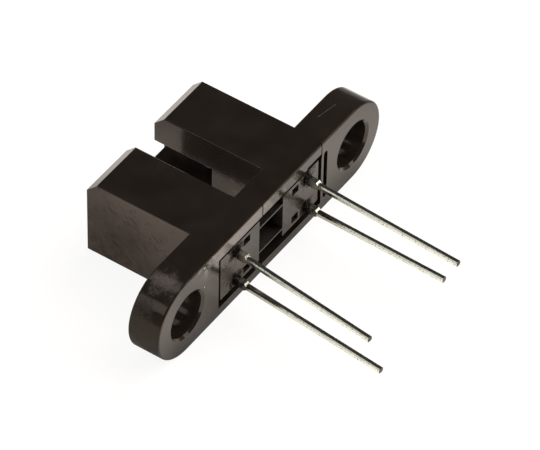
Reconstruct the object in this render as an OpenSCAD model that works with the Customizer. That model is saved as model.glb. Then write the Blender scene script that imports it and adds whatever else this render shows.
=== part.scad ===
// Slotted optical switch: a moulded fork with a light source in one arm and a light sensor in the other.
// It lies on its plain broad face. X runs along the flange, Y from the mounting face to the arm tips.
// The origin is on the mounting face, midway between the two screw holes.

/* [Housing] */
// Overall length of the flange
flange_l = 25.1; // [23.5:0.1:30]
// Thickness of the flange, from the mounting face to its top
flange_t = 2.4; // [2.2:0.1:4]
// Thickness of the housing between its two broad faces
housing_t = 6.25; // [5.8:0.05:8]
// Width across both arms
body_w = 11.8; // [11.4:0.1:14]
// Height of the arm tips above the mounting face
arm_h = 10.4; // [9.8:0.1:14]
// Width of the sensing slot between the arms
slot_w = 3.1; // [2.4:0.1:3.4]
// Height of the slot's floor above the mounting face
slot_floor_h = 1.9; // [1.6:0.1:2.8]
// Bevel along the upper edge of each arm tip
tip_bevel = 0.77; // [0.2:0.01:1]
// Rounding of the flange's edges
edge_r = 0.15; // [0.05:0.01:0.3]
// Rounding of the arms' long edges
arm_edge_r = 0.06; // [0.02:0.01:0.3]

/* [Screw holes] */
// Distance between the two screw holes
hole_pitch = 18.7; // [17.5:0.1:24]
// Diameter of a screw hole
hole_d = 3.4; // [2.5:0.1:4]
// Bevel at both mouths of a screw hole
hole_bevel = 0.17; // [0.05:0.01:0.4]

/* [Walls] */
// Wall between the slot and the room inside an arm
inner_wall = 1.05; // [0.8:0.05:1.4]
// Outer wall of an arm
outer_wall = 0.7; // [0.5:0.05:1]
// Walls behind the two broad faces
side_wall = 1; // [0.7:0.05:1.2]

/* [Light path] */
// Height of the optical axis above the mounting face
optical_h = 6.7; // [6:0.1:7.5]
// Width of the aperture groove in each inner wall
aperture_w = 1.6; // [1.5:0.05:2.2]
// Distance from the optical axis down to the groove's end
aperture_drop = 0.9; // [0.8:0.05:1.5]
// How far the groove breaks into the room behind the wall
aperture_break = 0.05; // [0.02:0.01:0.1]

/* [Underside] */
// Depth of the recess in the mounting face
recess_depth = 1; // [0.8:0.05:1.2]
// Ledge between the room in an arm and the end of the recess
recess_ledge = 0.44; // [0.3:0.02:0.8]
// How much further the recess reaches at the source's end
recess_extra = 0.3; // [0:0.01:0.4]
// How much further the recess reaches towards the lower broad face
recess_low = 0.2; // [0:0.01:0.3]
// How much higher the recess is at the sensor's end
recess_flare = 0.14; // [0:0.01:0.3]
// How far the base plug lies below the mounting face
plug_sink = 0.06; // [0.02:0.01:0.3]
// Gap along the two long sides of the base plug
plug_gap = 0.3; // [0.05:0.01:0.35]
// Gap at the two ends of the base plug
plug_end_gap = 0.28; // [0.05:0.01:0.3]
// Length of the window in the middle of the base plug
window_l = 2.66; // [1.5:0.02:3]
// Distance between the two ribs across the window
rib_pitch = 2.26; // [1.2:0.02:2.6]
// Thickness of a rib across the window
rib_t = 0.13; // [0.1:0.01:0.3]
// Distance between the two columns of ports
port_pitch = 5.46; // [5.2:0.02:5.9]
// Length of a port along the flange
port_l = 0.74; // [0.4:0.02:1]
// Height of a port
port_h = 0.62; // [0.4:0.02:0.8]
// Length of the key slot beside the recess
key_slot_l = 4.2; // [2:0.1:5]
// Width of the key slot
key_slot_w = 0.42; // [0.2:0.02:0.5]
// Wall between the key slot and the recess
key_slot_wall = 0.26; // [0.15:0.01:0.5]
// Place of the witness line near the middle of the upper wall
witness_x = -1.07; // [-3:0.01:3]
// Width of the fine witness lines across the upper wall
witness_w = 0.1; // [0.05:0.01:0.2]
// Depth of the witness lines
witness_depth = 0.25; // [0.1:0.01:0.5]

/* [Light source and sensor] */
// Height of each moulded package
package_h = 5.7; // [5:0.1:6]
// Distance from the bottom of a package up to its lens
lens_height = 3.85; // [3:0.05:4.2]
// Radius of the lens
lens_r = 0.76; // [0.5:0.02:0.8]
// How far the lens stands out of its package
lens_rise = 0.5; // [0.2:0.02:0.7]
// Clearance of a package in its arm
package_gap = 0.05; // [0.02:0.01:0.1]
// Side of a chip
chip_side = 0.4; // [0.2:0.02:0.6]
// Thickness of a chip
chip_t = 0.25; // [0.1:0.01:0.3]
// Diameter of a bond wire
wire_d = 0.05; // [0.03:0.01:0.08]

/* [Leads] */
// Thickness of a lead and width of its pin
lead_t = 0.4; // [0.3:0.01:0.5]
// Bevel along the edges of a pin
lead_bevel = 0.08; // [0.02:0.01:0.12]
// Width of a lead's shank, above the shoulder
shank_w = 0.62; // [0.55:0.01:0.8]
// Distance from the mounting face down to the shoulder
shank_drop = 0.85; // [0.6:0.05:2]
// Length of the sloping shoulder
shoulder_l = 0.18; // [0.05:0.01:0.3]
// Distance between the two leads of one package
lead_pitch = 2.54; // [2.2:0.02:2.8]
// How far the leads stand behind the middle of the package
lead_set_back = 0.1; // [0:0.05:0.4]
// Clearance round a lead in the base plug
lead_gap = 0.05; // [0.02:0.01:0.1]
// Length of the anode lead below the mounting face
anode_l = 12; // [8:0.1:16]
// Length of the cathode lead below the mounting face
cathode_l = 11.2; // [8:0.1:16]
// Length of the sensor's collector lead below the mounting face
collector_l = 10.9; // [8:0.1:16]
// Length of the sensor's emitter lead below the mounting face
emitter_l = 12.1; // [8:0.1:16]
// Outward lean of the anode lead, in degrees
anode_angle = 5.4; // [-4:0.1:8]
// Outward lean of the cathode lead, in degrees
cathode_angle = 6.7; // [-4:0.1:8]
// Outward lean of the sensor's collector lead, in degrees
collector_angle = -1.3; // [-4:0.1:8]
// Outward lean of the sensor's emitter lead, in degrees
emitter_angle = -2.9; // [-4:0.1:8]

/* [Hidden] */
$fn = 64;
over = 1;
SOURCE = -1;
SENSOR = 1;
half_t = housing_t / 2;
end_x = flange_l / 2 - half_t;
room_in = slot_w / 2 + inner_wall;
room_out = body_w / 2 - outer_wall;
room_w = housing_t - 2 * side_wall;
package_low = optical_h - lens_height;
package_top = package_low + package_h;
room_top = package_top + package_gap;
recess_half = room_out + recess_ledge;
plug_half = recess_half - plug_end_gap;
plug_w = room_w - 2 * plug_gap;
front_x = room_in + package_gap;
back_x = room_out - package_gap;
package_w = room_w - 2 * package_gap;
lead_x = (room_in + room_out) / 2 + lead_set_back;
lead_face_x = lead_x - lead_t / 2;
lead_z = lead_pitch / 2;
chip_face_x = lead_face_x - chip_t;
pad_half_h = chip_side;
pad_reach = chip_side;
post_h = chip_side;
bond_z = lead_z;
dark_plastic = [0.13, 0.12, 0.11];
plug_plastic = [0.19, 0.17, 0.16];
clear_resin = [0.55, 0.5, 0.58];
dark_resin = [0.09, 0.07, 0.09];
tinned = [0.8, 0.79, 0.74];
gallium = [0.45, 0.44, 0.5];
silicon = [0.3, 0.33, 0.42];
gold = [0.85, 0.65, 0.3];

// Stands its children in the source's arm or the sensor's arm, which mirror each other.
module in_arm(arm) {
    mirror([arm == SOURCE ? 1 : 0, 0, 0]) children();
}

// A block from its lowest corner to its highest.
module block(low, high) {
    translate(low) cube(high - low);
}

// A flat outline drawn in Y and Z, drawn out to length l along X, about the middle.
module along_x(l) {
    rotate([90, 0, 90]) linear_extrude(l, center = true) children();
}

// Half of the flange's section: from its middle plane out to a rim with rounded edges.
module rim_section() {
    square([half_t - edge_r, flange_t]);
    translate([0, edge_r]) square([half_t, flange_t - 2 * edge_r]);
    for (y = [edge_r, flange_t - edge_r]) translate([half_t - edge_r, y]) circle(edge_r);
}

module flange_end() {
    translate([end_x, 0, 0]) rotate([-90, 0, 0]) rotate([0, 0, -90]) rotate_extrude(angle = 180) rim_section();
}

module flange() {
    for (arm = [SOURCE, SENSOR]) in_arm(arm) flange_end();
    for (side = [0, 1]) mirror([0, 0, side])
        along_x(2 * end_x) rotate(90) mirror([0, 1]) rim_section();
}

// One arm, a bar with rounded long edges that starts above the rounded rim of the mounting face.
module arm_bar() {
    arm_w = (body_w - slot_w) / 2;
    translate([(body_w + slot_w) / 4, edge_r, 0]) rotate([-90, 0, 0]) linear_extrude(arm_h - edge_r) {
        square([arm_w - 2 * arm_edge_r, housing_t], center = true);
        square([arm_w, housing_t - 2 * arm_edge_r], center = true);
        for (x = [-1, 1], y = [-1, 1])
            translate([x * (arm_w / 2 - arm_edge_r), y * (half_t - arm_edge_r)]) circle(arm_edge_r);
    }
}

// What the bevel takes off the upper edge of the arm tips.
module tip_bevel_cut() {
    along_x(body_w + over) polygon([
        [arm_h - tip_bevel - over, half_t + over],
        [arm_h + over, half_t - tip_bevel - over],
        [arm_h + over, half_t + over]]);
}

// The room in an arm, with the groove that lets its light through.
module arm_room() {
    block([room_in, 0, -room_w / 2], [room_out, room_top, room_w / 2]);
    block([slot_w / 2 - over, optical_h - aperture_drop, -aperture_w / 2],
        [room_in + aperture_break, arm_h + over, aperture_w / 2]);
}

module screw_hole() {
    translate([hole_pitch / 2, 0, 0]) rotate([-90, 0, 0]) {
        translate([0, 0, -over]) cylinder(d = hole_d, h = flange_t + 2 * over);
        translate([0, 0, -hole_bevel]) cylinder(d1 = hole_d + 4 * hole_bevel, d2 = hole_d, h = 2 * hole_bevel);
        translate([0, 0, flange_t - hole_bevel])
            cylinder(d1 = hole_d, d2 = hole_d + 4 * hole_bevel, h = 2 * hole_bevel);
    }
}

// The recess for the base plug, a little higher at the sensor's end.
module recess() {
    low = -room_w / 2 - recess_low;
    block([-recess_half - recess_extra, -over, low], [recess_half, recess_depth, room_w / 2]);
    block([lead_x, -over, low], [recess_half, recess_depth, room_w / 2 + recess_flare]);
}

// The round-ended slot beside the sensor's end of the recess.
module key_slot() {
    run = (key_slot_l - key_slot_w) / 2;
    x = recess_half + key_slot_wall + key_slot_w / 2;
    block([x - key_slot_w / 2, -over, -run], [x + key_slot_w / 2, recess_depth, run]);
    for (z = [-run, run]) translate([x, 0, z]) rotate([-90, 0, 0])
        translate([0, 0, -over]) cylinder(d = key_slot_w, h = recess_depth + over);
}

// Fine lines that the mould leaves across the upper wall.
module witness_lines() {
    for (x = [witness_x, recess_half])
        block([x - witness_w / 2, -over, room_w / 2 - witness_depth],
            [x + witness_w / 2, witness_depth, half_t + over]);
}

module housing() {
    color(dark_plastic) difference() {
        union() {
            flange();
            for (arm = [SOURCE, SENSOR]) in_arm(arm) arm_bar();
        }
        block([-slot_w / 2, slot_floor_h, -half_t - over], [slot_w / 2, arm_h + over, half_t + over]);
        tip_bevel_cut();
        for (arm = [SOURCE, SENSOR]) in_arm(arm) {
            arm_room();
            screw_hole();
        }
        recess();
        key_slot();
        witness_lines();
    }
}

// The way through the base plug for one lead.
module lead_way(z) {
    wide = lead_t / 2 + lead_gap;
    tall = shank_w / 2 + lead_gap;
    block([lead_x - wide, -over, z - tall], [lead_x + wide, package_low + over, z + tall]);
}

// The three openings that the ribs leave in the middle window.
module window_cut() {
    bay = rib_pitch - rib_t;
    side_bay = plug_w / 2 - (rib_pitch + rib_t) / 2;
    block([-window_l / 2, -over, -bay / 2], [window_l / 2, recess_depth + over, bay / 2]);
    for (side = [0, 1]) mirror([0, 0, side])
        block([-window_l / 2, -over, plug_w / 2 - side_bay], [window_l / 2, recess_depth + over, plug_w / 2 + over]);
}

// The lead ways and the ports at one end of the base plug.
module plug_end_cut() {
    for (z = [-lead_z, lead_z]) {
        lead_way(z);
        block([(port_pitch - port_l) / 2, -over, z - port_h / 2],
            [(port_pitch + port_l) / 2, recess_depth, z + port_h / 2]);
    }
}

module base_plug() {
    color(plug_plastic) difference() {
        union() {
            block([-plug_half - recess_extra, plug_sink, -plug_w / 2], [plug_half, recess_depth, plug_w / 2]);
            for (arm = [SOURCE, SENSOR]) in_arm(arm)
                block([front_x, plug_sink, -plug_w / 2], [back_x, package_low, plug_w / 2]);
        }
        window_cut();
        for (arm = [SOURCE, SENSOR]) in_arm(arm) plug_end_cut();
    }
}

// The square section of a pin, with its edges bevelled.
module pin_section() {
    intersection() {
        square(lead_t, center = true);
        rotate(45) square(sqrt(2) * (lead_t - lead_bevel), center = true);
    }
}

// The straight shank of a lead, whose top is at height top, and the pin that leans out below it.
module lead_stem(z, l, angle, top) {
    low = -shank_drop - shoulder_l;
    translate([lead_x, 0, z]) {
        block([-lead_t / 2, 0, -shank_w / 2], [lead_t / 2, top, shank_w / 2]);
        cylinder(d = lead_t, h = shank_w, center = true);
        rotate([0, 0, angle]) {
            along_x(lead_t) polygon([
                [0, -shank_w / 2], [0, shank_w / 2],
                [-shank_drop, shank_w / 2], [low, lead_t / 2 - lead_bevel],
                [low, lead_bevel - lead_t / 2], [-shank_drop, -shank_w / 2]]);
            rotate([90, 0, 0]) linear_extrude(l) pin_section();
        }
    }
}

// The lead that carries the chip: side is 1 where it stands above the middle plane.
module pad_lead(side, l, angle) {
    top = optical_h + pad_half_h;
    lead_stem(side * lead_z, l, angle, top);
    mirror([0, 0, side > 0 ? 0 : 1])
        block([lead_face_x, optical_h - pad_half_h, -pad_reach], [lead_face_x + lead_t, top, lead_z]);
}

// The lead that takes the bond wire.
module post_lead(side, l, angle) {
    lead_stem(side * lead_z, l, angle, optical_h + post_h);
}

module chip() {
    block([chip_face_x, optical_h - chip_side / 2, -chip_side / 2],
        [lead_face_x, optical_h + chip_side / 2, chip_side / 2]);
}

// The bond wire: a half ring from the chip, and a straight end down to the post.
module bond_wire(side) {
    translate([chip_face_x, optical_h, side * bond_z / 2])
        rotate([90, 0, 0]) rotate([0, 0, 90]) rotate_extrude(angle = 180) translate([bond_z / 2, 0]) circle(d = wire_d);
    translate([chip_face_x, optical_h, side * bond_z]) rotate([0, 90, 0]) cylinder(d = wire_d, h = chip_t);
}

// A moulded package with its lens, cast round what it holds.
module package() {
    difference() {
        union() {
            block([front_x, package_low, -package_w / 2], [back_x, package_top, package_w / 2]);
            translate([front_x + lens_r - lens_rise, optical_h, 0]) sphere(lens_r);
        }
        children();
    }
}

module source_package() {
    color(clear_resin) in_arm(SOURCE) package() {
        pad_lead(1, cathode_l, cathode_angle);
        post_lead(-1, anode_l, anode_angle);
        chip();
        bond_wire(-1);
    }
}

module sensor_package() {
    color(dark_resin) in_arm(SENSOR) package() {
        pad_lead(-1, collector_l, collector_angle);
        post_lead(1, emitter_l, emitter_angle);
        chip();
        bond_wire(1);
    }
}

module anode_lead() { color(tinned) in_arm(SOURCE) post_lead(-1, anode_l, anode_angle); }
module cathode_lead() { color(tinned) in_arm(SOURCE) pad_lead(1, cathode_l, cathode_angle); }
module collector_lead() { color(tinned) in_arm(SENSOR) pad_lead(-1, collector_l, collector_angle); }
module emitter_lead() { color(tinned) in_arm(SENSOR) post_lead(1, emitter_l, emitter_angle); }
module source_chip() { color(gallium) in_arm(SOURCE) chip(); }
module sensor_chip() { color(silicon) in_arm(SENSOR) chip(); }
module source_wire() { color(gold) in_arm(SOURCE) bond_wire(-1); }
module sensor_wire() { color(gold) in_arm(SENSOR) bond_wire(1); }

housing();
base_plug();
source_package();
sensor_package();
anode_lead();
cathode_lead();
collector_lead();
emitter_lead();
source_chip();
sensor_chip();
source_wire();
sensor_wire();
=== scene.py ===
# %% [markdown]
# # A slotted optical switch
# The part is a small black fork with a light source in one arm, a light sensor in the other, and
# four tinned leads. The solids come from the CAD frame with their real sizes. This lesson gives
# them the finishes of the real thing: gloss on moulded plastic, tin on stamped leads, resin and
# gold inside.

# %% Load the frame
import math

import bpy
from mathutils import Matrix, Vector


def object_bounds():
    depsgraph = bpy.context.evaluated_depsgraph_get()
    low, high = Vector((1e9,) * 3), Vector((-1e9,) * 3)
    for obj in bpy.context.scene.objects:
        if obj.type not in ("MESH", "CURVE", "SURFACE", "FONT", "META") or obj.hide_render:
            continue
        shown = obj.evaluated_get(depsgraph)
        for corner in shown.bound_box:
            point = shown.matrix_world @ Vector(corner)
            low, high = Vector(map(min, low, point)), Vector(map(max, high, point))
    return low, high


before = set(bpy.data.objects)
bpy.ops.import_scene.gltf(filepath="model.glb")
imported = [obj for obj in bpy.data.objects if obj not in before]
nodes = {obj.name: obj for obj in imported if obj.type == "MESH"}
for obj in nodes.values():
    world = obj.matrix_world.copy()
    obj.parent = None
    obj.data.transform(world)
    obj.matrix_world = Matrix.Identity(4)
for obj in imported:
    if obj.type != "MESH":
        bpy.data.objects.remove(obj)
cad_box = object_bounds()
scene = bpy.context.scene
MM = 0.001
print("CAD nodes:", ", ".join(sorted(nodes)))

# %% [markdown]
# ## Camera
# A product photograph of a part this small is taken with a long lens from far away, so its
# parallel edges stay almost parallel. The camera could be pointed with a Track To constraint, but
# a constraint gives no control over the roll. Here its three axes are written out from an azimuth,
# a height angle and a roll, and become the columns of its matrix.

# %% Camera
AZIMUTH = math.radians(-56.28)
ELEVATION = math.radians(46.15)
ROLL = math.radians(1.31)
DISTANCE = 317.17 * MM
AIM = Vector((0, 3, 0)) * MM
SLIDE_RIGHT = 2.355 * MM
SLIDE_UP = -0.993 * MM
FOCAL_PIXELS = 4906.8
IMAGE_WIDTH = 540
NEAREST_SEEN = 10 * MM

toward_camera = Vector((
    math.sin(AZIMUTH) * math.cos(ELEVATION),
    -math.cos(AZIMUTH) * math.cos(ELEVATION),
    math.sin(ELEVATION)))
level_right = Vector((0, 0, 1)).cross(toward_camera).normalized()
level_up = toward_camera.cross(level_right)
camera_right = level_right * math.cos(ROLL) + level_up * math.sin(ROLL)
camera_up = level_up * math.cos(ROLL) - level_right * math.sin(ROLL)
camera_place = AIM + camera_right * SLIDE_RIGHT + camera_up * SLIDE_UP + toward_camera * DISTANCE

camera_data = bpy.data.cameras.new("product_camera")
camera_data.sensor_fit = "HORIZONTAL"
camera_data.lens = FOCAL_PIXELS * camera_data.sensor_width / IMAGE_WIDTH
camera_data.clip_start = NEAREST_SEEN
camera = bpy.data.objects.new("product_camera", camera_data)
scene.collection.objects.link(camera)
columns = (camera_right, camera_up, toward_camera, camera_place)
rows = [[column[row] for column in columns] for row in range(3)]
camera.matrix_world = Matrix((*rows, (0, 0, 0, 1)))
scene.camera = camera
scene.view_settings.view_transform = "Standard"
print(f"lens {camera_data.lens:.0f} mm, {DISTANCE / MM:.0f} mm away")

# %% [markdown]
# ## Floor
# The part lies on warm white card. The card could be Blender's own plane, moved and scaled, but
# four corners that are written out put it straight at the lowest point of the solids.

# %% Floor
FLOOR_HALF = 0.6
FLOOR_CORNERS = ((-1, -1), (1, -1), (1, 1), (-1, 1))

floor_z = cad_box[0][2]
floor_mesh = bpy.data.meshes.new("white_card")
floor_mesh.from_pydata(
    [(x * FLOOR_HALF, y * FLOOR_HALF, floor_z) for x, y in FLOOR_CORNERS], [], [(0, 1, 2, 3)])
floor = bpy.data.objects.new("white_card", floor_mesh)
scene.collection.objects.link(floor)
print(f"floor at {floor_z / MM:.3f} mm")

# %% [markdown]
# ## Helpers for node trees
# Every finish below is a tree of shader nodes. They could be added and linked one by one, but
# several lines for each node would hide what a finish does. So one helper adds a node and fills
# its inputs, four more cover the sums, vector sums, ranges and colour blends that come up all the
# time, and the last one starts a material.

# %% Node helpers
MIX_MASK, MIX_FIRST, MIX_SECOND, MIX_RESULT = 0, 6, 7, 2  # the colour sockets of a Mix node


def add(tree, kind, inputs=None, **settings):
    """Adds a node, sets its properties, and sets or links its inputs by name or number."""
    made = tree.nodes.new(kind)
    for name, value in settings.items():
        setattr(made, name, value)
    for name, value in (inputs or {}).items():
        socket = made.inputs[name]
        if isinstance(value, bpy.types.NodeSocket):
            tree.links.new(value, socket)
        else:
            socket.default_value = value
    return made


def calc(tree, operation, *values, clamp=False):
    """A Math node, whose values are numbers or outputs of other nodes."""
    made = add(tree, "ShaderNodeMath", dict(enumerate(values)),
               operation=operation, use_clamp=clamp)
    return made.outputs[0]


def vector_calc(tree, operation, first, second):
    """A Vector Math node. Dot products and distances give a number, the rest a vector."""
    made = add(tree, "ShaderNodeVectorMath", {0: first, 1: second}, operation=operation)
    return made.outputs["Value" if operation in ("DOT_PRODUCT", "DISTANCE") else "Vector"]


def remap(tree, value, low, high, to_low=0.0, to_high=1.0):
    """Stretches a value's range from low to high to a new range, and cuts off what lies outside."""
    made = add(tree, "ShaderNodeMapRange", {
        "Value": value, "From Min": low, "From Max": high, "To Min": to_low, "To Max": to_high})
    return made.outputs["Result"]


def blend_colour(tree, mask, first, second):
    """A colour that goes from first to second as the mask goes from 0 to 1."""
    made = add(tree, "ShaderNodeMix", {MIX_MASK: mask, MIX_FIRST: first, MIX_SECOND: second},
               data_type="RGBA")
    return made.outputs[MIX_RESULT]


def new_material(name):
    """A material with a Principled shader. Returns the material, its tree and the shader."""
    material = bpy.data.materials.new(name)
    material.use_nodes = True
    return material, material.node_tree, material.node_tree.nodes["Principled BSDF"]


print("node helpers ready")

# %% [markdown]
# ## White card
# A photographer lays a glossy part on a small card over dark cloth, so that its ends don't mirror
# more white than its faces do. A second, smaller sheet would do that here too, but its edge would
# show. So the one card fades to dark past both ends of the part, in reflections only, along a line
# that is turned from the flange towards the leads.

# %% Card fade
CARD_TOWARD = (1.0, -0.65, 0.0)
CARD_LEFT = (-11.5 * MM, -6.0 * MM)
CARD_RIGHT = (10.0 * MM, 20.0 * MM)
CLOTH_SHARE = 0.2

card, tree, shader = new_material("white_card")
tree.nodes.remove(shader)
spot = add(tree, "ShaderNodeTexCoord").outputs["Object"]
across = vector_calc(tree, "DOT_PRODUCT", spot, Vector(CARD_TOWARD).normalized())
card_edge = calc(tree, "MULTIPLY", remap(tree, across, *CARD_LEFT, CLOTH_SHARE, 1.0),
                 remap(tree, across, *CARD_RIGHT, 1.0, CLOTH_SHARE))
print("card fades over", [f"{(high - low) / MM:.1f} mm" for low, high in (CARD_LEFT, CARD_RIGHT)])

# %% [markdown]
# Close to the part the card lies in its shade, and the part mirrors that as well. Reflections could
# find the shade by themselves, but here they mostly see the card's plain white. So the Ambient
# Occlusion node finds the shaded places and darkens them. The slot and the space past the arm tips
# are left pale, because light reaches the card there.

# %% Contact shade
CONTACT_REACH = 5.0 * MM
CONTACT_SAMPLES = 8
CONTACT_CLOSED, CONTACT_OPEN = 0.58, 0.85
CONTACT_SHARE = 0.35
SLOT_HALF = 1.6 * MM
ARMS_HALF = 6.0 * MM
ARM_TIPS_Y = 10.4 * MM

sky = add(tree, "ShaderNodeAmbientOcclusion", {"Distance": CONTACT_REACH}, samples=CONTACT_SAMPLES)
contact = remap(tree, sky.outputs["AO"], CONTACT_CLOSED, CONTACT_OPEN, CONTACT_SHARE, 1.0)
spot_x, spot_y = add(tree, "ShaderNodeSeparateXYZ", {0: spot}).outputs[:2]
past_tips = calc(tree, "GREATER_THAN", spot_y, ARM_TIPS_Y)
open_half = remap(tree, past_tips, 0.0, 1.0, SLOT_HALF, ARMS_HALF)
between_arms = calc(tree, "LESS_THAN", calc(tree, "ABSOLUTE", spot_x), open_half)
in_slot = calc(tree, "MULTIPLY", between_arms, calc(tree, "GREATER_THAN", spot_y, 0.0))
on_card = calc(tree, "MULTIPLY", card_edge, calc(tree, "MAXIMUM", contact, in_slot))
print("contact shade within", f"{CONTACT_REACH / MM:.0f} mm")

# %% [markdown]
# A sheet that is lit only by lamps turns grey in a picture, and more light would wash out the
# part. So the card shows most of itself as plain white to the camera, and a share of itself in
# reflections, through the Light Path node. The rest is real shading, which keeps the shadow under
# the part.

# %% Card material
CAMERA_WHITE = 0.86
MIRRORED_WHITE = 0.55
PAPER_GRAIN = 900.0
PAPER_DEEP = (0.93, 0.885, 0.83, 1)
PAPER_PALE = (0.97, 0.925, 0.87, 1)
BLACK, WHITE = (0, 0, 0, 1), (1, 1, 1, 1)

paper = add(tree, "ShaderNodeTexNoise", {"Scale": PAPER_GRAIN, "Detail": 3.0})
paper_colour = blend_colour(tree, paper.outputs["Fac"], PAPER_DEEP, PAPER_PALE)
ray = add(tree, "ShaderNodeLightPath")
mirrored = calc(tree, "MAXIMUM", ray.outputs["Is Glossy Ray"], ray.outputs["Is Transmission Ray"])
in_mirror = blend_colour(tree, on_card, BLACK, paper_colour)
shown = blend_colour(tree, mirrored, paper_colour, in_mirror)
lit = add(tree, "ShaderNodeBsdfDiffuse", {"Color": shown})
glow_colour = blend_colour(tree, mirrored, WHITE, paper_colour)
glow = add(tree, "ShaderNodeEmission", {"Color": glow_colour, "Strength": 1.0})
to_camera = calc(tree, "MULTIPLY", ray.outputs["Is Camera Ray"], CAMERA_WHITE)
to_mirror = calc(tree, "MULTIPLY", calc(tree, "MULTIPLY", mirrored, MIRRORED_WHITE), on_card)
share = calc(tree, "ADD", to_camera, to_mirror)
mixed = add(tree, "ShaderNodeMixShader", {0: share, 1: lit.outputs[0], 2: glow.outputs[0]})
tree.links.new(mixed.outputs[0], tree.nodes["Material Output"].inputs["Surface"])
floor.data.materials.append(card)
print("material:", card.name)

# %% [markdown]
# ## Light
# The card stands in a room with one wide window at the right, towards the camera, and with pale
# walls at the left and the back that fill the shadows. A glossy black part would mirror them all
# and turn grey, so a photographer hangs black cloth where the camera would see them mirrored. The
# Light Path node does the same here, with no cloth to model: the camera sees white, rays that
# leave a glossy surface meet the cloth, and all others meet the room.

# %% World
ROOM_LEVEL = 0.3
# Each light has a direction, the cosines at which it starts and is full, and a level.
ROOM_LIGHTS = {
    "window": ((0.75, -0.4, 0.5), 0.7, 0.95, 5.2),
    "left wall": ((-0.9, 0.4, 0.15), 0.5, 0.95, 2.0),
    "back wall": ((-0.25, 0.95, 0.2), 0.8, 0.97, 3.0),
}
# The cloth has a height, from 0 at the horizon to 1 overhead, and a level at each stop.
CLOTH_STOPS = [(0.0, 0.12), (0.2, 0.05), (0.5, 0.03), (1.0, 0.03)]

world = bpy.data.worlds.new("studio")
scene.world = world
world.use_nodes = True
tree = world.node_tree
direction = add(tree, "ShaderNodeTexCoord").outputs["Generated"]
height = add(tree, "ShaderNodeSeparateXYZ", {0: direction}).outputs["Z"]
cloth = add(tree, "ShaderNodeValToRGB", {"Fac": height})
stops = cloth.color_ramp.elements
for place, _ in CLOTH_STOPS[1:-1]:
    stops.new(place)
for stop, (_, level) in zip(stops, CLOTH_STOPS):
    stop.color = (level, level, level, 1)
room = ROOM_LEVEL
for toward, start, full, level in ROOM_LIGHTS.values():
    facing = vector_calc(tree, "DOT_PRODUCT", direction, Vector(toward).normalized())
    room = calc(tree, "ADD", room, remap(tree, facing, start, full, 0.0, level))
ray = add(tree, "ShaderNodeLightPath")
seen = blend_colour(tree, ray.outputs["Is Camera Ray"], room, WHITE)
around = blend_colour(tree, ray.outputs["Is Glossy Ray"], seen, cloth.outputs["Color"])
tree.links.new(around, tree.nodes["Background"].inputs["Color"])
print("world: a room with", ", ".join(ROOM_LIGHTS), "behind black cloth")

# %% [markdown]
# Three dim square lamps are left to be mirrored. Sheets that glow would look the same, but lamps
# give less noise. One stands low on the right in front of the mounting face and lights the
# shoulders of the leads. One hangs overhead and one stands behind on the left, and both show as
# soft bands on rounded edges. All stay away from the direction that the upper faces mirror.

# %% Lamps
LAMP_DISTANCE = 1.0
LAMP_WARM = (1.0, 0.94, 0.88)


def soft_box(name, direction, size, glow):
    """A square area lamp that looks at the part, and glows as a surface of that level."""
    lamp = bpy.data.lights.new(name, "AREA")
    lamp.shape = "SQUARE"
    lamp.size = size
    lamp.energy = glow * math.pi * size ** 2
    made = bpy.data.objects.new(name, lamp)
    scene.collection.objects.link(made)
    place = Vector(direction).normalized() * LAMP_DISTANCE
    made.location = place
    made.rotation_euler = place.to_track_quat("Z", "Y").to_euler()
    return made


key = soft_box("right_box", (0.576, -0.735, 0.348), size=0.3, glow=1.5)
key.data.color = LAMP_WARM
soft_box("overhead_box", (0.19, 0.385, 0.90), size=0.4, glow=0.5)
soft_box("left_card", (-0.70, 0.385, 0.60), size=0.33, glow=0.6)

# %% [markdown]
# ## Shared effects
# Plastic and tin share many marks: grain, lines, rubbed edges, scuffs. Each material could hold its
# own copy of the nodes for them. A node group is built once instead, and each material places it
# with its own values. All groups work in millimetres, so their values are easy to picture.

# %% Group helpers
NOISE_RANGE = (0.3, 0.7)  # where most of a noise lies


def new_group(name, inputs, outputs):
    """A shader node group with named sockets. Returns its tree, input node and output node."""
    tree = bpy.data.node_groups.new(name, "ShaderNodeTree")
    for label, value in inputs.items():
        kind = "NodeSocketVector" if isinstance(value, tuple) else "NodeSocketFloat"
        socket = tree.interface.new_socket(label, in_out="INPUT", socket_type=kind)
        socket.default_value = value
    for label in outputs:
        tree.interface.new_socket(label, in_out="OUTPUT", socket_type="NodeSocketFloat")
    return tree, tree.nodes.new("NodeGroupInput"), tree.nodes.new("NodeGroupOutput")


def in_millimetres(tree):
    """The place of a point on the part, in millimetres."""
    place = add(tree, "ShaderNodeTexCoord").outputs["Object"]
    return vector_calc(tree, "MULTIPLY", place, (1 / MM,) * 3)


def noise(tree, place, scale, detail, roughness=0.5):
    """The grey value of a noise at a place."""
    made = add(tree, "ShaderNodeTexNoise", {
        "Vector": place, "Scale": scale, "Detail": detail, "Roughness": roughness})
    return made.outputs["Fac"]


print("group helpers ready")

# %% [markdown]
# The housing and the plug come from the same kind of mould, so they share its skin: a fine grain
# that breaks up reflections, and slow changes of gloss where the plastic cooled at a different
# rate. One noise with much detail would tie the two sizes together, so each has a noise of its own.

# %% Moulded skin
tree, given, result = new_group("moulded_skin", {"Grain": 9.0, "Patch": 0.8}, ["Height", "Gloss"])
millimetres = in_millimetres(tree)
grain = noise(tree, millimetres, given.outputs["Grain"], detail=3.0)
patch = noise(tree, millimetres, given.outputs["Patch"], detail=2.0)
tree.links.new(grain, result.inputs["Height"])
tree.links.new(remap(tree, patch, *NOISE_RANGE), result.inputs["Gloss"])
moulded_skin = tree
print("group:", moulded_skin.name)

# %% [markdown]
# Fine lines run along many surfaces: the marks of the cutter in the mould, or of the rollers on a
# drawn strip. A Wave texture would make them too even. A noise that is squeezed across its run and
# stretched along it gives lines that come and go.

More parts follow.
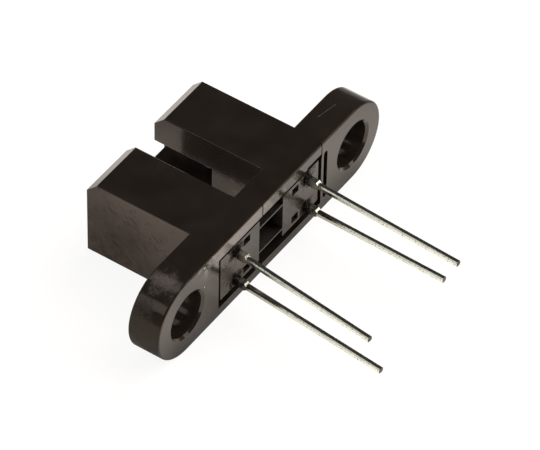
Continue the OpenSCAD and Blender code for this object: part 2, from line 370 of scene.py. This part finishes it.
# %% Run lines
tree, given, result = new_group("run_lines", {"Across": 6.0, "Along": 0.35}, ["Lines"])
across, along = given.outputs["Across"], given.outputs["Along"]
squeeze = add(tree, "ShaderNodeCombineXYZ", {0: across, 1: along, 2: across}).outputs[0]
stretched = vector_calc(tree, "MULTIPLY", in_millimetres(tree), squeeze)
lines = noise(tree, stretched, scale=1.0, detail=2.0)
tree.links.new(remap(tree, lines, *NOISE_RANGE), result.inputs["Lines"])
run_lines = tree
print("group:", run_lines.name)

# %% [markdown]
# A moulding that is pushed out of its mould keeps thin broken drag marks, which all lean one way.
# One noise would give blots. Here the surface is cut into narrow lanes along the drag, each lane
# holds one thin line, and a noise that differs from lane to lane breaks the lines into dashes.

# %% Drag dashes
DASH_ALONG = (0.0, 0.76, 0.65)
DASH_ACROSS = (0.0, -0.65, 0.76)
SWAY_SCALE = 0.7
SWAY_LANES = 2.0
LANE_MIDDLE = 0.5
LANE_STEP = 7.3
LINE_EDGE = (0.4, 0.2)
DASH_EDGE = (0.4, 0.55)

tree, given, result = new_group("drag_dashes", {"Lanes": 4.0, "Breaks": 1.5}, ["Dash"])
millimetres = in_millimetres(tree)
along = vector_calc(tree, "DOT_PRODUCT", millimetres, DASH_ALONG)
across = vector_calc(tree, "DOT_PRODUCT", millimetres, DASH_ACROSS)
sway = calc(tree, "MULTIPLY", noise(tree, millimetres, SWAY_SCALE, detail=2.0), SWAY_LANES)
lane = calc(tree, "ADD", calc(tree, "MULTIPLY", across, given.outputs["Lanes"]), sway)
in_lane = add(tree, "ShaderNodeCombineXYZ", {
    0: calc(tree, "MULTIPLY", along, given.outputs["Breaks"]),
    1: calc(tree, "MULTIPLY", calc(tree, "FLOOR", lane), LANE_STEP)}).outputs[0]
dashes = remap(tree, noise(tree, in_lane, scale=1.0, detail=2.0), *DASH_EDGE)
off_line = calc(tree, "SUBTRACT", calc(tree, "FRACT", lane), LANE_MIDDLE)
thin = remap(tree, calc(tree, "ABSOLUTE", off_line), *LINE_EDGE)
tree.links.new(calc(tree, "MULTIPLY", thin, dashes), result.inputs["Dash"])
drag_dashes = tree
print("group:", drag_dashes.name)

# %% [markdown]
# Handling rubs the edges of a part first. Geometry's Pointiness could find them, but it needs a
# dense mesh. The Bevel node gives the normal of a surface whose edges are rounded off. Where it
# differs from the true normal there is an edge, so their difference is a mask, and a noise breaks
# it up.

# %% Rubbed edges
BEVEL_SAMPLES = 6
EDGE_AGREE = (0.99, 0.8)
RUB_EDGE = (0.35, 0.65)

tree, given, result = new_group("rubbed_edges", {"Reach": 0.1, "Patchiness": 2.0}, ["Rub"])
reach = calc(tree, "MULTIPLY", given.outputs["Reach"], MM)
rounded = add(tree, "ShaderNodeBevel", {"Radius": reach}, samples=BEVEL_SAMPLES).outputs[0]
normal = add(tree, "ShaderNodeNewGeometry").outputs["Normal"]
edge = remap(tree, vector_calc(tree, "DOT_PRODUCT", rounded, normal), *EDGE_AGREE)
patches = noise(tree, in_millimetres(tree), given.outputs["Patchiness"], detail=4.0)
broken = remap(tree, patches, *RUB_EDGE)
tree.links.new(calc(tree, "MULTIPLY", edge, broken), result.inputs["Rub"])
rubbed_edges = tree
print("group:", rubbed_edges.name)

# %% [markdown]
# Scuffs and stains sit in certain places, such as the round end of a flange that was dropped. They
# could be painted, but then they would need an image. The group takes a place in millimetres and a
# reach, fades out with distance, and speckles what is left. It also places patches of painted light
# and painted sheen.

# %% Scuffs and painted patches
OUTLINE_SCALE = 1.3
OUTLINE_STRETCH = (0.6, 1.5)
SCUFF_FADE = (0.0, 0.75)
SPECKLE_ROUGHNESS = 0.7
SPECKLE_EDGE = (0.3, 0.6)

tree, given, result = new_group(
    "scuffs", {"Place": (0.0, 0.0, 0.0), "Reach": 1.5, "Speckle": 7.0}, ["Scuff"])
millimetres = in_millimetres(tree)
away = vector_calc(tree, "DISTANCE", millimetres, given.outputs["Place"])
outline = noise(tree, millimetres, OUTLINE_SCALE, detail=3.0)
stretch = remap(tree, outline, *NOISE_RANGE, *OUTLINE_STRETCH)
far = calc(tree, "DIVIDE", calc(tree, "MULTIPLY", away, stretch), given.outputs["Reach"])
fade = remap(tree, calc(tree, "SUBTRACT", 1.0, far, clamp=True), *SCUFF_FADE)
speckle = noise(tree, millimetres, given.outputs["Speckle"], 5.0, SPECKLE_ROUGHNESS)
marked = remap(tree, calc(tree, "MULTIPLY", speckle, fade), *SPECKLE_EDGE)
tree.links.new(marked, result.inputs["Scuff"])
scuffs = tree
print("group:", scuffs.name)

# %% [markdown]
# A scratch is a short line of bare plastic, and a painted highlight along an edge or a painted
# glint is a short pale line. They are too small to cut into a mesh. The group takes the start of
# the line and its run, finds how far each point lies from the nearest point of the line, and marks
# what is closer than its width. A noise frays it.

# %% Scratch and highlight line
FRAY_SCALE = 9.0
FRAY_WIDTHS = (0.3, 1.2)
MARK_EDGE = (1.0, 0.4)

tree, given, result = new_group(
    "scratch_and_highlight_line", {"Start": (0.0, 0.0, 0.0), "Run": (1.0, 0.0, 0.0), "Width": 0.05}, ["Mark"])
millimetres = in_millimetres(tree)
run = given.outputs["Run"]
offset = vector_calc(tree, "SUBTRACT", millimetres, given.outputs["Start"])
reach = vector_calc(tree, "DOT_PRODUCT", offset, run)
share = calc(tree, "DIVIDE", reach, vector_calc(tree, "DOT_PRODUCT", run, run), clamp=True)
nearest = add(tree, "ShaderNodeVectorMath", {0: run, "Scale": share}, operation="SCALE").outputs[0]
away = vector_calc(tree, "DISTANCE", offset, nearest)
fray = remap(tree, noise(tree, millimetres, FRAY_SCALE, detail=3.0), *NOISE_RANGE, *FRAY_WIDTHS)
wide = calc(tree, "MULTIPLY", given.outputs["Width"], fray)
tree.links.new(remap(tree, calc(tree, "DIVIDE", away, wide), *MARK_EDGE), result.inputs["Mark"])
scratch_and_highlight_line = tree
print("group:", scratch_and_highlight_line.name)

# %% [markdown]
# ## Housing plastic
# The fork is one moulding of a black filled plastic with a warm brown tone. Its faces are glossy
# enough to mirror the card and the leads. One flat black would look drawn, so the patches of the
# skin mix two darks that are close to each other.

# %% Housing colour
HOUSING_DARK = (0.008, 0.0059, 0.0045, 1)
HOUSING_WARM = (0.0118, 0.0088, 0.0068, 1)


def place_group(tree, group, **values):
    """Puts a node group into a tree, with values for its inputs."""
    made = add(tree, "ShaderNodeGroup", node_tree=group)
    for name, value in values.items():
        made.inputs[name].default_value = value
    return made


housing_plastic, tree, shader = new_material("housing_moulding")
skin = place_group(tree, moulded_skin, Grain=9.0, Patch=0.5)
base = blend_colour(tree, skin.outputs["Gloss"], HOUSING_DARK, HOUSING_WARM)
print("material:", housing_plastic.name)

# %% [markdown]
# The arms slid along the mould as the fork was pushed out. The outer side of the source's arm is
# painted a lighter brown that stands in for the light it mirrors, with a painted sheen that grows
# towards the flange and the top. A brown patch low on the sensor's side of the slot, near the
# flange, is a painted reflection of lit card. Faces could be picked one by one, but the solids'
# meshes stay as they are, so masks find the sides by the way they face and by their place along the
# flange.

# %% Arm sides
SIDE_FACING = (-0.6, -0.95)
ARM_SIDE_X = -6.2 * MM
OUTER_SIDE_X = -5.0 * MM
SIDE_PAINTED_LIGHT = (0.028, 0.0208, 0.0165, 1)
SHEEN_PAINTED_BROWN = (0.075, 0.0575, 0.048, 1)
SHEEN_TOWARD = (0, -0.6, 1.0)
SHEEN_RANGE = (-5.0 * MM, 1.5 * MM)
INNER_PAINTED_REFLECTION = (0.15, 0.083, 0.052, 1)

where = add(tree, "ShaderNodeTexCoord")
facing = add(tree, "ShaderNodeSeparateXYZ", {0: where.outputs["Normal"]})
spot = add(tree, "ShaderNodeSeparateXYZ", {0: where.outputs["Object"]})
arm_side = calc(tree, "MULTIPLY", remap(tree, facing.outputs["X"], *SIDE_FACING),
                calc(tree, "GREATER_THAN", spot.outputs["X"], ARM_SIDE_X))
outer = calc(tree, "MULTIPLY", arm_side, calc(tree, "LESS_THAN", spot.outputs["X"], OUTER_SIDE_X))
# Painted light: the outer side is a lighter brown, standing in for the light that side mirrors.
base = blend_colour(tree, outer, base, SIDE_PAINTED_LIGHT)
# Painted sheen: lighter towards the flange and the top of the outer side.
rise = vector_calc(tree, "DOT_PRODUCT", where.outputs["Object"], SHEEN_TOWARD)
painted_sheen = calc(tree, "MULTIPLY", remap(tree, rise, *SHEEN_RANGE), outer)
base = blend_colour(tree, painted_sheen, base, SHEEN_PAINTED_BROWN)
# Painted reflection: a brown patch low on the sensor's side of the slot, near the flange.
inner_painted_reflection = place_group(tree, scuffs, Place=(1.55, 2.8, -0.9), Reach=3.6, Speckle=1.0).outputs[0]
base = blend_colour(tree, calc(tree, "MULTIPLY", arm_side, inner_painted_reflection), base, INNER_PAINTED_REFLECTION)
print("arm sides:", len(tree.nodes), "nodes so far")

# %% [markdown]
# The same slide left dark dashes on the arm's outer side, most of them towards its tip. The drag
# dashes would cover every side evenly, so a wide scuff picks where they show.

# %% Drag marks
STREAK_DARK = (0.004, 0.003, 0.0022, 1)

streaky = place_group(tree, scuffs, Place=(-5.9, 8.0, -1.2), Reach=8.0, Speckle=0.8).outputs[0]
drag = place_group(tree, drag_dashes, Lanes=3.6, Breaks=1.9).outputs[0]
dash = calc(tree, "MULTIPLY", calc(tree, "MULTIPLY", streaky, drag), arm_side)
base = blend_colour(tree, dash, base, STREAK_DARK)
print("drag marks:", len(tree.nodes), "nodes so far")

# %% [markdown]
# The upper strip of the mounting face is painted paler, a painted sheen that stands in for the
# brighter card it mirrors. A second material on that strip would end in a hard line, so a mask
# fades it in with height, and a wide scuff speckles it.

# %% Painted sheen on the strip
STRIP_FACING = (-0.8, -0.95)
STRIP_EDGE = (1.3 * MM, 2.4 * MM)
STRIP_SHEEN_FULL = 0.5
STRIP_PAINTED_SHEEN = (0.135, 0.12, 0.11, 1)

# Painted sheen: the upper strip of the mounting face turns paler, speckled by a wide scuffs
# placing.
sheen_speckle = place_group(tree, scuffs, Place=(-3.5, 0.0, 3.4), Reach=8.5, Speckle=8.0).outputs[0]
in_strip = calc(tree, "MULTIPLY", remap(tree, facing.outputs["Y"], *STRIP_FACING),
                remap(tree, spot.outputs["Z"], *STRIP_EDGE))
strip = calc(tree, "MULTIPLY", in_strip, remap(tree, sheen_speckle, 0.0, STRIP_SHEEN_FULL))
base = blend_colour(tree, strip, base, STRIP_PAINTED_SHEEN)
print("sanded strip:", len(tree.nodes), "nodes so far")

# %% [markdown]
# Handling rubbed the edges of the housing grey, and scuffed the round end of its flange in two
# places. Rubbed plastic is paler, so each kind of wear could be a layer of its own with its own
# shader. A mask that blends a paler colour over what lies below costs less and looks the same.

# %% Rubs and scuffs
RUBBED_GREY = (0.05, 0.044, 0.041, 1)
RUBBED_SHARE = 0.5
SCUFF_GREY = (0.085, 0.072, 0.066, 1)
SCUFF_SHARE = 0.45
KNOCK_PALE = 0.1

rub = place_group(tree, rubbed_edges, Reach=0.09, Patchiness=1.4).outputs[0]
base = blend_colour(tree, calc(tree, "MULTIPLY", rub, RUBBED_SHARE), base, RUBBED_GREY)
drop = place_group(tree, scuffs, Place=(-10.2, 1.2, 3.0), Reach=2.0, Speckle=5.0).outputs[0]
knock = place_group(tree, scuffs, Place=(-12.0, 1.8, 1.9), Reach=2.1, Speckle=5.0).outputs[0]
worn = calc(tree, "MAXIMUM", drop, calc(tree, "MULTIPLY", knock, KNOCK_PALE))
base = blend_colour(tree, calc(tree, "MULTIPLY", worn, SCUFF_SHARE), base, SCUFF_GREY)
print("rubs and scuffs:", len(tree.nodes), "nodes so far")

# %% [markdown]
# A scratch runs along the sensor's end of the flange. Two edges along the slot carry painted
# highlights, and three small painted glints sit on the mounting face. Each is one placing of the
# scratch and highlight line, so a list of them is easier to read and to change than six blocks of
# nodes.

# %% Scratch, painted highlights and glints
SCRATCH_LILAC = (0.052, 0.038, 0.044, 1)
EDGE_PAINTED_HIGHLIGHT = (0.05, 0.045, 0.039, 1)
PAINTED_GLINT_PALE = (0.5, 0.48, 0.42, 1)
# Each line has a colour, a start, a run and a width, in millimetres.
SCRATCH_AND_HIGHLIGHT_LINES = [
    (SCRATCH_LILAC, (7.55, 1.63, 3.125), (1.68, -0.28, 0.0), 0.045),
    # Painted highlights along the upper edges of the slot.
    (EDGE_PAINTED_HIGHLIGHT, (-1.55, 9.9, 3.125), (0.0, -4.3, 0.0), 0.13),
    (EDGE_PAINTED_HIGHLIGHT, (1.55, 8.2, 3.125), (0.0, -6.1, 0.0), 0.04),
    # Painted glints on the mounting face.
    (PAINTED_GLINT_PALE, (-7.54, 0.0, 2.8), (0.1, 0.0, 0.0), 0.09),
    (PAINTED_GLINT_PALE, (-6.64, 0.0, 3.07), (0.06, 0.0, 0.0), 0.07),
    (PAINTED_GLINT_PALE, (-7.52, 0.0, 1.04), (0.0, 0.0, 0.06), 0.06),
]

for colour, start, run, width in SCRATCH_AND_HIGHLIGHT_LINES:
    line = place_group(tree, scratch_and_highlight_line, Start=start, Run=run, Width=width).outputs[0]
    base = blend_colour(tree, line, base, colour)
tree.links.new(base, shader.inputs["Base Color"])
print("scratch and highlight lines:", len(SCRATCH_AND_HIGHLIGHT_LINES))

# %% [markdown]
# The gloss follows the skin of the mould, and the two scuffs are duller. The grain and the cutter
# lines could be real displacement, but they are far too shallow for that, so they feed a Bump node.

# %% Housing gloss and relief
HOUSING_ROUGH = (0.1, 0.16)
DROP_DULL = 0.12
KNOCK_DULL = 0.32
GRAIN_SHARE = 0.5
CUTTER_SHARE = 0.5
HOUSING_IOR = 1.7
WARM_MIRROR = (1.0, 0.82, 0.71, 1)


def add_bump(tree, shader, relief, strength, depth):
    """Tilts the shader's normal by a height map of some depth."""
    bump = add(tree, "ShaderNodeBump", {"Strength": strength, "Distance": depth, "Height": relief})
    tree.links.new(bump.outputs[0], shader.inputs["Normal"])


gloss = remap(tree, skin.outputs["Gloss"], 0.0, 1.0, *HOUSING_ROUGH)
dull = calc(tree, "MAXIMUM", calc(tree, "MULTIPLY", drop, DROP_DULL),
            calc(tree, "MULTIPLY", knock, KNOCK_DULL))
tree.links.new(calc(tree, "ADD", gloss, dull), shader.inputs["Roughness"])
cutter = place_group(tree, run_lines, Across=5.5, Along=1.5)
relief = calc(tree, "ADD", calc(tree, "MULTIPLY", skin.outputs["Height"], GRAIN_SHARE),
              calc(tree, "MULTIPLY", cutter.outputs["Lines"], CUTTER_SHARE))
add_bump(tree, shader, relief, strength=0.2, depth=0.012 * MM)
shader.inputs["IOR"].default_value = HOUSING_IOR
shader.inputs["Specular Tint"].default_value = WARM_MIRROR
print("material:", housing_plastic.name, "with", len(tree.nodes), "nodes")

# %% [markdown]
# ## Plug plastic
# The plug is pressed into the mounting face after the packages. It is the same plastic from another
# mould with a duller skin, and it is stained brown on the source's half. Round the roots of the
# four leads it is darker and duller. That could be four small lumps of mesh, but it is only a
# change of surface, so four scuffs at the roots of the leads make one mask for it.

# %% Plug colour
PLUG_DARK = (0.011, 0.0095, 0.0085, 1)
PLUG_MOTTLE = (0.024, 0.0185, 0.015, 1)
PLUG_STAIN = (0.024, 0.0165, 0.0115, 1)
ROOT_DARK = (0.009, 0.0065, 0.005, 1)
ROOT_X, ROOT_Y, ROOT_Z = 4.0, 0.06, 1.27
ROOT_DARK_EDGE = (0.05, 0.6)

plug_plastic, tree, shader = new_material("plug_moulding")
skin = place_group(tree, moulded_skin, Grain=5.0, Patch=1.3)
rub = place_group(tree, rubbed_edges, Reach=0.07, Patchiness=2.5).outputs[0]
stain = place_group(tree, scuffs, Place=(-5.0, 0.2, -0.4), Reach=2.6, Speckle=2.5).outputs[0]
# Darker, duller plastic round the roots of the four leads.
dark_roots = 0.0
for x in (-ROOT_X, ROOT_X):
    for z in (-ROOT_Z, ROOT_Z):
        root = place_group(tree, scuffs, Place=(x, ROOT_Y, z), Reach=1.5, Speckle=4.0).outputs[0]
        dark_roots = calc(tree, "MAXIMUM", dark_roots, remap(tree, root, *ROOT_DARK_EDGE))
base = blend_colour(tree, skin.outputs["Gloss"], PLUG_DARK, PLUG_MOTTLE)
base = blend_colour(tree, stain, base, PLUG_STAIN)
base = blend_colour(tree, dark_roots, base, ROOT_DARK)
base = blend_colour(tree, calc(tree, "MULTIPLY", rub, RUBBED_SHARE), base, RUBBED_GREY)
tree.links.new(base, shader.inputs["Base Color"])
print("material:", plug_plastic.name)

# %% [markdown]
# Round the roots the plastic is dark, rough and a little raised. Plastic mirrors some white even
# where it is rough, so a dark colour alone would still look grey. A metal mirrors only its own
# colour, so the roots' mask feeds Metallic too, and the roots go nearly black.

# %% Plug gloss and relief
PLUG_ROUGH = (0.1, 0.2)
STAIN_DULL = 0.4
ROOT_DULL = 0.5
DULL_RELIEF = 2.5
PLUG_IOR = 1.65

gloss = remap(tree, skin.outputs["Gloss"], 0.0, 1.0, *PLUG_ROUGH)
dull = calc(tree, "MAXIMUM", calc(tree, "MULTIPLY", stain, STAIN_DULL),
            calc(tree, "MULTIPLY", dark_roots, ROOT_DULL))
tree.links.new(calc(tree, "ADD", gloss, dull), shader.inputs["Roughness"])
tree.links.new(dark_roots, shader.inputs["Metallic"])
relief = calc(tree, "ADD", skin.outputs["Height"], calc(tree, "MULTIPLY", dull, DULL_RELIEF))
add_bump(tree, shader, relief, strength=0.4, depth=0.05 * MM)
shader.inputs["IOR"].default_value = PLUG_IOR
shader.inputs["Specular Tint"].default_value = WARM_MIRROR
print("material:", plug_plastic.name, "with", len(tree.nodes), "nodes")

# %% [markdown]
# ## Tinned leads
# The leads are stamped from strip and dipped in tin. The tin is bright, a little uneven where it
# ran, with faint lines along its length and small dark specks, and it turns dull yellow along the
# edges. One chrome colour would be too clean, so the same groups that age the plastic age the tin.

# %% Tin colour
TIN_BRIGHT = (0.93, 0.93, 0.83, 1)
TIN_DULL = (0.7, 0.69, 0.55, 1)
TIN_EDGE = (0.66, 0.62, 0.5, 1)
TIN_SPECK = (0.3, 0.27, 0.18, 1)
DULL_SHARE, EDGE_SHARE, SPECK_SHARE = 0.5, 0.6, 0.7
SPECK_EDGE = (0.56, 0.63)

tinned, tree, shader = new_material("tin_plate")
skin = place_group(tree, moulded_skin, Grain=9.0, Patch=2.0)
rub = place_group(tree, rubbed_edges, Reach=0.05, Patchiness=3.0).outputs[0]
dull = calc(tree, "MULTIPLY", skin.outputs["Gloss"], DULL_SHARE)
base = blend_colour(tree, dull, TIN_BRIGHT, TIN_DULL)
base = blend_colour(tree, calc(tree, "MULTIPLY", rub, EDGE_SHARE), base, TIN_EDGE)
specks = remap(tree, skin.outputs["Height"], *SPECK_EDGE)
base = blend_colour(tree, calc(tree, "MULTIPLY", specks, SPECK_SHARE), base, TIN_SPECK)
print("material:", tinned.name)

# %% [markdown]
# The shanks are darker and duller in spots from the mounting face almost to the shoulders, and the
# ends were sheared after tinning, so they are bare and dull. All four leads share one material, so
# both places are found by how far along the lead they lie.

# %% Lead ends and shanks
TIN_ROOT_DARK = (0.02, 0.015, 0.011, 1)
SHANK_DARK_SPAN = (-0.8 * MM, -0.3 * MM)
SHANK_DARK_SPOTS = (0.36, 0.46)
CUT_METAL = (0.05, 0.042, 0.03, 1)
CUT_FACING = (-0.7, -0.9)
CUT_ENDS_Y = -9.0 * MM
TIN_ROUGH = (0.06, 0.14)
SHANK_DULL = 0.4
ROLLED_SHARE = 0.4

where = add(tree, "ShaderNodeTexCoord")
along = add(tree, "ShaderNodeSeparateXYZ", {0: where.outputs["Object"]}).outputs["Y"]
# Darker, duller spots on the shanks next to the mounting face.
dark_roots = calc(tree, "MULTIPLY", remap(tree, along, *SHANK_DARK_SPAN),
             remap(tree, skin.outputs["Height"], *SHANK_DARK_SPOTS))
base = blend_colour(tree, dark_roots, base, TIN_ROOT_DARK)
facing = add(tree, "ShaderNodeSeparateXYZ", {0: where.outputs["Normal"]}).outputs["Y"]
cut = calc(tree, "MULTIPLY", remap(tree, facing, *CUT_FACING),
           calc(tree, "LESS_THAN", along, CUT_ENDS_Y))
base = blend_colour(tree, cut, base, CUT_METAL)
tree.links.new(base, shader.inputs["Base Color"])
rolled = place_group(tree, run_lines, Across=14.0, Along=0.8).outputs["Lines"]
rough = calc(tree, "ADD", remap(tree, rolled, 0.0, 1.0, *TIN_ROUGH),
             calc(tree, "MULTIPLY", dark_roots, SHANK_DULL))
tree.links.new(rough, shader.inputs["Roughness"])
relief = calc(tree, "ADD", skin.outputs["Height"], calc(tree, "MULTIPLY", rolled, ROLLED_SHARE))
add_bump(tree, shader, relief, strength=0.3, depth=0.012 * MM)
shader.inputs["Metallic"].default_value = 1.0
print("material:", tinned.name, "with", len(tree.nodes), "nodes")

# %% [markdown]
# ## Inside the arms
# Each arm holds a small epoxy package with a lens that looks across the slot. The source's resin is
# clear with a lilac tint, and the sensor's resin is nearly black, because it only passes infrared.
# They differ in colour and clearness alone, so one function makes both.

# %% Resin materials
RESIN_ROUGH = (0.04, 0.12)
RESIN_IOR = 1.54


def resin(name, pale, deep, clearness):
    """Cast epoxy: glossy, faintly streaked, and clear or not."""
    made, tree, shader = new_material(name)
    flow = place_group(tree, moulded_skin, Grain=2.0, Patch=0.6)
    colour = blend_colour(tree, flow.outputs["Gloss"], pale, deep)
    tree.links.new(colour, shader.inputs["Base Color"])
    rough = remap(tree, flow.outputs["Height"], *NOISE_RANGE, *RESIN_ROUGH)
    tree.links.new(rough, shader.inputs["Roughness"])
    add_bump(tree, shader, flow.outputs["Height"], strength=0.1, depth=0.01 * MM)
    shader.inputs["Transmission Weight"].default_value = clearness
    shader.inputs["IOR"].default_value = RESIN_IOR
    return made


source_resin = resin(
    "lilac_epoxy", pale=(0.62, 0.5, 0.64, 1), deep=(0.5, 0.38, 0.55, 1), clearness=0.6)
sensor_resin = resin(
    "infrared_epoxy", pale=(0.012, 0.006, 0.009, 1), deep=(0.02, 0.009, 0.012, 1), clearness=0.0)
print("materials:", source_resin.name, sensor_resin.name)

# %% [markdown]
# The chips are sawn from a wafer: the source's is a warm grey compound, the sensor's is silicon
# with a blue sheen. The bond wires are drawn gold. Sawing and drawing both leave fine lines, so one
# function makes all three, from the same lines as on the leads.

# %% Chip and wire materials


def metal_like(name, pale, deep, metal, rough):
    """A hard bright surface with fine lines along it."""
    made, tree, shader = new_material(name)
    lines = place_group(tree, run_lines, Across=20.0, Along=4.0).outputs["Lines"]
    tree.links.new(blend_colour(tree, lines, pale, deep), shader.inputs["Base Color"])
    tree.links.new(remap(tree, lines, 0.0, 1.0, *rough), shader.inputs["Roughness"])
    shader.inputs["Metallic"].default_value = metal
    return made


source_chip = metal_like("compound_wafer", pale=(0.36, 0.34, 0.38, 1), deep=(0.26, 0.24, 0.29, 1),
                         metal=0.6, rough=(0.2, 0.4))
sensor_chip = metal_like("silicon_wafer", pale=(0.16, 0.19, 0.3, 1), deep=(0.1, 0.12, 0.2, 1),
                         metal=0.7, rough=(0.1, 0.25))
gold = metal_like("drawn_gold", pale=(0.95, 0.7, 0.3, 1), deep=(0.85, 0.6, 0.24, 1),
                  metal=1.0, rough=(0.12, 0.25))
print("materials:", source_chip.name, sensor_chip.name, gold.name)

# %% [markdown]
# ## Dress the solids
# New meshes could stand in for the CAD solids, but the solids have the right shape. So they stay,
# and each takes its finish in its own material slot.

# %% Dress the solids
FINISHES = {
    "housing": housing_plastic, "base_plug": plug_plastic,
    "source_package": source_resin, "sensor_package": sensor_resin,
    "anode_lead": tinned, "cathode_lead": tinned, "collector_lead": tinned, "emitter_lead": tinned,
    "source_chip": source_chip, "sensor_chip": sensor_chip,
    "source_wire": gold, "sensor_wire": gold,
}
for name, finish in FINISHES.items():
    nodes[name].material_slots[0].material = finish
print("dressed:", len(FINISHES), "solids")
